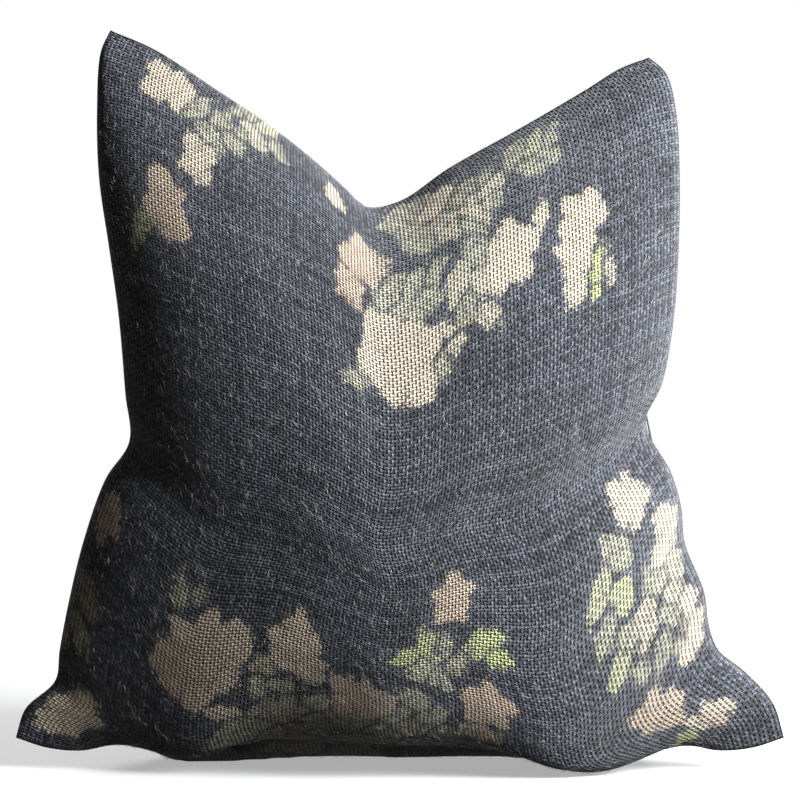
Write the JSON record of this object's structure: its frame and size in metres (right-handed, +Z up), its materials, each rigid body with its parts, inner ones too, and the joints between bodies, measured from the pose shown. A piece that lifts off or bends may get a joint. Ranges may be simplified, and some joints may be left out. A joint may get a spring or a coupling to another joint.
{
  "type": "throw pillow",
  "caption": "Square knife-edged throw pillow with a chopped top: zipped woven cover with a faded flower print over a feather insert.",
  "frame": {"origin": "on the surface the pillow stands on, under the middle of its bounding box", "axes": "+Z up, +X along the zipped bottom seam (to the right seen from the front), front towards -Y"},
  "size_m": [0.492, 0.2018, 0.478],
  "materials": {
    "cover_cloth": "heavy plain weave, dark charcoal with a faded printed flower pattern, matt and slightly hairy",
    "thread": "spun thread, matt",
    "label": "satin ribbon, blank",
    "zip_tape": "woven tape",
    "zip_coil": "nylon coil",
    "zip_stop": "satin",
    "zip_metal": "dark lacquered metal",
    "ticking": "close cotton weave",
    "feathers": "loose feathers and down"
  },
  "bodies": {
    "pillow": {"cover_front": "cover_cloth", "cover_back": "cover_cloth", "cover_seam_thread": "thread", "cover_label": "label", "zip_tape_front": "zip_tape", "zip_tape_back": "zip_tape", "zip_coil_front": "zip_coil", "zip_coil_back": "zip_coil", "zip_top_stop": "zip_stop", "zip_bottom_stop": "zip_stop", "insert_shell_front": "ticking", "insert_shell_back": "ticking", "insert_binding": "ticking", "insert_fill": "feathers", "insert_label": "label"},
    "slider": {"zip_slider": "zip_metal"},
    "pull": {"zip_pull": "zip_metal"}
  },
  "joints": [
    {"name": "zip_run", "type": "slide", "parent": "pillow", "child": "slider", "axis": [-1, 0, 0], "range_m": [0, 0.33]},
    {"name": "pull_swing", "type": "hinge", "parent": "slider", "child": "pull", "pos_m": [0.1651, -0.04175, 0.01443], "axis": [0, -0.9703, 0.2419], "range_deg": [-8, 156]}
  ]
}
